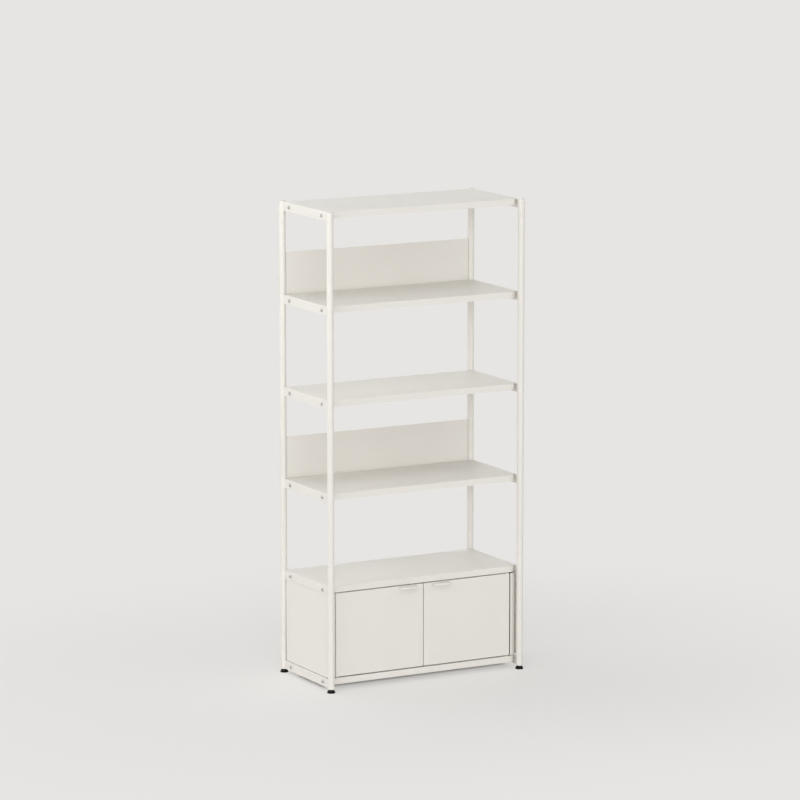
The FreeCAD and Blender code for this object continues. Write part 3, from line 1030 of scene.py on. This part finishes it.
@dataclass
class Fasteners(SubAssembly):
    """Screws and nuts of the trays, the back panels and the cabinet."""

    tray_screw: Screw = Screw(
        radius=0.004, length=0.018, head_radius=0.007, head_height=0.0044, crown_round=0.0034,
        across_flats=0.005, socket_depth=0.0026, pitch=0.00125, groove=0.0006)
    tray_nut: Nut = Nut(across_flats=0.013, height=0.0065, bore_radius=0.00405, chamfer=0.0007)
    panel_screw: Screw = Screw(
        radius=0.00185, length=0.007, head_radius=0.004, head_height=0.0014, crown_round=0.0011,
        across_flats=0.002, socket_depth=0.0008, pitch=0.001, groove=0.0004)
    cabinet_screw: Screw = Screw(
        radius=0.0025, length=0.012, head_radius=0.00475, head_height=0.00275, crown_round=0.0022,
        across_flats=0.003, socket_depth=0.0016, pitch=0.0008, groove=0.0004)
    screw_half: float = 0.130
    panel_levels: tuple[int, ...] = (1, 3, 5)
    panel_rise: float = 0.158
    panel_height: float = 0.180
    panel_screw_inset: float = 0.030
    wrap_outer: float = 0.014
    pan_screw_x: float = 0.396
    pan_screw_rows: tuple[float, ...] = (-0.0995, 0.099)
    pan_flange_top: float = 0.0512
    strip_screw_row: tuple[float, ...] = (-0.3055, 0.0, 0.3055)
    strip_screw_y: float = 0.1591
    strip_top: float = 0.0492

    def build(self) -> None:
        """Build and dress every group of fasteners."""
        groups = {
            "tray_screws": (self.tray_screw.mesh("tray_screw"), self._tray_places()),
            "tray_nuts": (self.tray_nut.mesh("tray_nut"), self._nut_places()),
            "panel_screws": (self.panel_screw.mesh("panel_screw"), self._panel_places()),
            "cabinet_screws": (self.cabinet_screw.mesh("cabinet_screw"), self._cabinet_places()),
        }
        for node, (pattern, places) in groups.items():
            bm = bmesh.new()
            for place in places:
                stamp(bm, pattern, place)
            self.piece(f"threaded_{node}", bm, Slot.STEEL, Body.FRAME.value, [node])

    def _along_bars(self, reach: float, way: float) -> list[Matrix]:
        """Find the places of fasteners on both sides of the trays' ends.

        Args:
            reach: how far the seats lie from the middle.
            way: 1 where the fasteners point out of the bookcase, -1 where they point into it.

        Returns:
            The place of each fastener.
        """
        drop = self.plan.bar_height / 2.0
        return [facing(Vector((side.value * reach, end.value * self.screw_half, top - drop)),
                       Vector((side.value * way, 0.0, 0.0)))
                for top in self.plan.tray_tops for side in Side for end in End]

    def _tray_places(self) -> list[Matrix]:
        """Find the tray screws on the crossbars' outer faces."""
        return self._along_bars(self.plan.half_x + self.plan.bar_half, 1.0)

    def _nut_places(self) -> list[Matrix]:
        """Find the nuts on the inner faces of the trays' end flanges."""
        return self._along_bars(self.plan.half_x - self.plan.bar_half - self.plan.sheet, -1.0)

    def _panel_places(self) -> list[Matrix]:
        """Find the screws behind the rear posts.

        Returns:
            The place of each screw.
        """
        tops = [self.plan.tray_tops[level] + self.panel_rise for level in self.panel_levels]
        heights = [top - drop for top in tops
                   for drop in (self.panel_screw_inset, self.panel_height - self.panel_screw_inset)]
        rear = self.plan.half_y + self.wrap_outer
        return [facing(Vector((side.value * self.plan.half_x, rear, height)), BACK)
                for side in Side for height in heights]

    def _cabinet_places(self) -> list[Matrix]:
        """Find the screws on the cabinet's floor.

        Returns:
            The place of each screw.
        """
        seats = [Vector((side.value * self.pan_screw_x, y, self.pan_flange_top))
                 for side in Side for y in self.pan_screw_rows]
        seats += [Vector((x, self.strip_screw_y, self.strip_top)) for x in self.strip_screw_row]
        return [facing(seat, UP) for seat in seats]


@dataclass
class Doors(SubAssembly):
    """Pulls and strike plates of the cabinet doors."""

    pull_sheet: float = 0.0015
    pull_width: float = 0.075
    pull_reach: float = 0.020
    pull_drop: float = 0.009
    pull_below_top: float = 0.003
    pull_edge: float = 0.032
    pull_bend: float = 0.0045
    pull_corner: float = 0.003
    pull_softness: float = 0.0003
    bend_steps: int = 6
    corner_steps: int = 4
    soft_steps: int = 2
    soft_corner: float = 1.0
    strike_height: float = 0.010
    strike_drop: float = 0.002
    strike_corner: float = 0.002
    rivet_radius: float = 0.0022
    rivet_rise: float = 0.00025
    # Radius and height of the rivet's shoulder, as shares of the whole.
    rivet_shoulder: Point = (0.8, 0.7)
    rivet_shares: Point = (0.18, 0.82)
    rivet_steps: int = 24

    def build(self) -> None:
        """Build and dress the pieces of both doors."""
        for side in Side:
            self._pull(side)
            self._strike(side)

    def _pull(self, side: Side) -> None:
        """Bend the tab that opens one door.

        Args:
            side: the door's side.
        """
        near, far = self.plan.from_middle(side, self.pull_edge, self.pull_width)
        top = self.plan.door_top - self.pull_below_top
        nose = self.plan.tray_front - self.pull_reach
        middle = (nose + self.pull_bend, top - self.pull_bend)
        bend = arc(middle, self.pull_bend, 90.0, 180.0, self.bend_steps)
        section = [(self.plan.tray_front, top), *bend, (nose, top - self.pull_drop)]
        bm = bmesh.new()
        chain = [bm.verts.new((near, y, z)) for y, z in section]
        edges = [bm.edges.new(pair) for pair in zip(chain, chain[1:])]
        draw_out(bm, bmesh.ops.extrude_edge_only(bm, edges=edges), Vector((far - near, 0.0, 0.0)))
        lowest = min(vert.co.z for vert in bm.verts)
        tips = [vert for vert in bm.verts if vert.co.z - lowest < MERGE]
        round_off(bm, tips, self.pull_corner, self.corner_steps, Rounding.CORNERS)
        bmesh.ops.recalc_face_normals(bm, faces=bm.faces)
        plate = max(bm.faces, key=lambda face: face.calc_center_median().z)
        if plate.normal.z < 0.0:
            bmesh.ops.reverse_faces(bm, faces=bm.faces)
        bmesh.ops.solidify(bm, geom=bm.faces[:], thickness=self.pull_sheet)
        soften(bm, self.pull_softness, self.soft_steps, self.soft_corner)
        tidy_shell(bm)
        self.piece(f"bent_pull_{side.word}", bm, Slot.COAT, f"{side.word}_door", [f"door_pull_{side.word}"])

    def _strike(self, side: Side) -> None:
        """Build the plate that one door's catch holds, with two rivets.

        Args:
            side: the door's side.
        """
        near, far = self.plan.from_middle(side, self.plan.catch_edge, self.plan.catch_width)
        rear = self.plan.tray_front + self.plan.door_depth
        face = rear + self.plan.strike_sheet
        high = self.plan.door_top - self.strike_drop
        low = high - self.strike_height
        bm = bmesh.new()
        block(bm, (near, far), (rear, face), (low, high))
        corners = [edge for edge in bm.edges if abs(edge.verts[0].co.y - edge.verts[1].co.y) > MERGE]
        round_off(bm, corners, self.strike_corner, self.corner_steps)
        rivet = self._rivet()
        for share in self.rivet_shares:
            seat = Vector((near + (far - near) * share, face, (low + high) / 2.0))
            stamp(bm, rivet, facing(seat, BACK))
        self.piece(f"riveted_strike_{side.word}", bm, Slot.STEEL, f"{side.word}_door",
                   [f"strike_plate_{side.word}"])

    def _rivet(self) -> bpy.types.Mesh:
        """Draw one rivet upright, sunk into the plate as far as it rises above it.

        Returns:
            The rivet, with the plate's face at the origin.
        """
        radius, rise = self.rivet_radius, self.rivet_rise
        shoulder = (radius * self.rivet_shoulder[0], rise * self.rivet_shoulder[1])
        bm = bmesh.new()
        turn_profile(bm, [(0.0, -rise), (radius, -rise), (radius, 0.0), shoulder, (0.0, rise)],
                     self.rivet_steps)
        return as_mesh(bm, "rivet")


@dataclass
class Catches(SubAssembly):
    """Magnetic catches under the tray above the cabinet."""

    height: float = 0.013
    gap: float = 0.0003
    corner: float = 0.001
    corner_steps: int = 3
    pole_rise: float = 0.0006
    pole_sheet: float = 0.0016
    pole_inset: float = 0.004
    pole_softness: float = 0.0002
    pole_steps: int = 2

    def build(self) -> None:
        """Build and dress both catches."""
        front = self.plan.tray_front + self.plan.door_depth + self.plan.strike_sheet + self.gap
        rear = self.plan.tray_front + self.plan.hem_depth
        low, high = self.plan.hem_bottom - self.height, self.plan.hem_bottom
        bodies, poles = bmesh.new(), bmesh.new()
        for side in Side:
            near, far = self.plan.from_middle(side, self.plan.catch_edge, self.plan.catch_width)
            inset = side.value * self.pole_inset
            block(bodies, (near, far), (front + self.pole_rise, rear), (low, high))
            for level in (low + self.pole_inset, high - self.pole_inset):
                block(poles, (near + inset, far - inset), (front, rear - self.pole_inset),
                      (level - self.pole_sheet / 2.0, level + self.pole_sheet / 2.0))
        soften(bodies, self.corner, self.corner_steps)
        soften(poles, self.pole_softness, self.pole_steps)
        self.piece("catch_bodies", bodies, Slot.CATCH, Body.FRAME.value, ["magnet_catches"])
        self.piece("catch_poles", poles, Slot.STEEL, Body.FRAME.value)


# Studio


@dataclass(frozen=True)
class Lamp:
    """A broad soft lamp far away, by where its light comes from."""

    name: str
    azimuth: float
    elevation: float
    strength: float
    spread: float
    distance: float = 6.0

    def place(self) -> None:
        """Add the lamp to the scene."""
        data = bpy.data.lights.new(self.name, "SUN")
        data.energy = self.strength
        data.angle = math.radians(self.spread)
        turn, rise = math.radians(self.azimuth), math.radians(self.elevation)
        source = Vector((math.sin(turn) * math.cos(rise), -math.cos(turn) * math.cos(rise), math.sin(rise)))
        made = add_object(self.name, data)
        made.rotation_euler = source.to_track_quat("Z", "Y").to_euler()
        made.location = source * self.distance


@dataclass(frozen=True)
class SoftBox:
    """A round soft lamp near the object."""

    name: str
    place_at: Spot
    aim: Spot
    power: float
    size: float

    def place(self) -> None:
        """Add the lamp to the scene."""
        data = bpy.data.lights.new(self.name, "AREA")
        data.shape = "DISK"
        data.energy = self.power
        data.size = self.size
        made = add_object(self.name, data)
        made.location = self.place_at
        made.rotation_euler = (Vector(self.place_at) - Vector(self.aim)).to_track_quat("Z", "Y").to_euler()


@dataclass
class Studio:
    """Floor, backdrop colour, lamps and camera."""

    backdrop: Color = (0.799, 0.783, 0.767)
    floor_color: Color = (0.900, 0.884, 0.866)
    floor_half: float = 40.0
    # Half of the floor's span, out from the middle, that shows almost all of the object's shadow.
    deep_shade: Spot = (0.37, 0.08, 0.0)
    # How much of the shadow shows there and close outside, and how far out it fades away.
    under_share: float = 0.9
    near_share: float = 0.42
    near_reach: float = 0.045
    fade_start: float = 0.3
    fade_end: float = 2.0
    sky: float = 0.25
    lamps: tuple[Lamp | SoftBox, ...] = (
        Lamp("front_left", azimuth=-45.0, elevation=25.0, strength=0.66, spread=60.0),
        Lamp("front_right", azimuth=45.0, elevation=25.0, strength=0.26, spread=60.0),
        Lamp("back_left", azimuth=-135.0, elevation=25.0, strength=0.88, spread=60.0),
        Lamp("back", azimuth=180.0, elevation=25.0, strength=0.73, spread=60.0),
        Lamp("front_high", azimuth=0.0, elevation=55.0, strength=0.36, spread=60.0),
        Lamp("front_low", azimuth=-20.0, elevation=8.0, strength=1.00, spread=30.0),
        SoftBox("near_left", place_at=(-2.0, -0.4, 2.0), aim=(-0.4, -0.1, 1.9), power=7.2, size=1.2),
    )
    lens: float = 195.417
    sensor_width: float = 36.0
    view_depth: float = 200.0
    camera_place: Spot = (-7.7008, -14.1026, 3.8652)
    camera_turn: float = -28.61
    camera_dip: float = 9.966

    def build(self) -> None:
        """Set up everything round the object."""
        self._view()
        self._world()
        self._floor()
        for lamp in self.lamps:
            lamp.place()
        self._camera()

    @staticmethod
    def _view() -> None:
        """Show colours as they are written."""
        bpy.context.scene.view_settings.view_transform = "Standard"

    @staticmethod
    def _shown(wiring: Wiring) -> bpy.types.NodeSocket:
        """Tell rays that show the backdrop from rays that only carry light.

        Args:
            wiring: the tree to add to.

        Returns:
            A socket that is 1 for camera, glossy and transmission rays.
        """
        path = wiring.node("ShaderNodeLightPath")
        some = wiring.math("MAXIMUM", path.outputs["Is Camera Ray"], path.outputs["Is Glossy Ray"])
        return wiring.math("MAXIMUM", some, path.outputs["Is Transmission Ray"])

    def _world(self) -> None:
        """Light the scene evenly from the sky and show the backdrop's colour behind it."""
        world = bpy.data.worlds.new("studio")
        bpy.context.scene.world = world
        world.use_nodes = True
        wiring = Wiring(world.node_tree)
        light = wiring.node("ShaderNodeBackground", {"Color": (1.0, 1.0, 1.0, 1.0), "Strength": self.sky})
        shown = wiring.node("ShaderNodeBackground", {"Color": opaque(self.backdrop), "Strength": 1.0})
        mixed = wiring.node("ShaderNodeMixShader", {0: self._shown(wiring), 1: light.outputs[0],
                                                    2: shown.outputs[0]})
        wiring.node("ShaderNodeOutputWorld", {"Surface": mixed.outputs[0]})

    def _floor(self) -> None:
        """Lay a pale floor that takes the shadow near the object and fades into the backdrop."""
        bm = bmesh.new()
        bmesh.ops.create_grid(bm, x_segments=1, y_segments=1, size=self.floor_half)
        mesh = as_mesh(bm, "studio_floor")
        look = bpy.data.materials.new("studio_floor_look")
        look.use_nodes = True
        wiring = Wiring(look.node_tree)
        place = wiring.node("ShaderNodeTexCoord").outputs["Object"]
        away = wiring.vector("ABSOLUTE", place)
        past = wiring.vector("SUBTRACT", away.outputs[0], self.deep_shade)
        outside = wiring.vector("MAXIMUM", past.outputs[0], (0.0, 0.0, 0.0))
        reach = wiring.vector("LENGTH", outside.outputs[0]).outputs["Value"]
        close = wiring.ramp(reach, (0.0, self.near_reach), (self.under_share, self.near_share), smooth=True)
        far = wiring.ramp(reach, (self.fade_start, self.fade_end), (1.0, 0.0), smooth=True)
        share = wiring.math("MULTIPLY", close, far)
        lit = wiring.node("ShaderNodeBsdfDiffuse", {"Color": opaque(self.floor_color)})
        flat = wiring.node("ShaderNodeEmission", {"Color": opaque(self.backdrop), "Strength": 1.0})
        faded = wiring.node("ShaderNodeMixShader", {0: share, 1: flat.outputs[0], 2: lit.outputs[0]})
        mixed = wiring.node("ShaderNodeMixShader", {0: self._shown(wiring), 1: lit.outputs[0],
                                                    2: faded.outputs[0]})
        wiring.node("ShaderNodeOutputMaterial", {"Surface": mixed.outputs[0]})
        mesh.materials.append(look)
        floor = add_object("studio_floor", mesh)

    def _camera(self) -> None:
        """Place the camera where the photograph was taken from."""
        data = bpy.data.cameras.new("camera")
        data.lens = self.lens
        data.sensor_width = self.sensor_width
        data.clip_end = self.view_depth
        made = add_object("camera", data)
        made.location = self.camera_place
        tilt, turn = math.radians(90.0 - self.camera_dip), math.radians(self.camera_turn)
        made.rotation_euler = Euler((tilt, 0.0, turn))
        bpy.context.scene.camera = made


def main() -> None:
    """Dress the frame, add the finer pieces and set up the studio."""
    logging.basicConfig(level=logging.INFO, format="%(name)s: %(message)s")
    palette = Palette()
    LOG.info("dressed %d nodes", palette.dress_frame())
    plan = Plan()
    for kind in (SideFrames, LevellingFeet, Fasteners, Doors, Catches):
        kind(palette, plan).build()
    Studio().build()


if __name__ == "__main__":
    main()
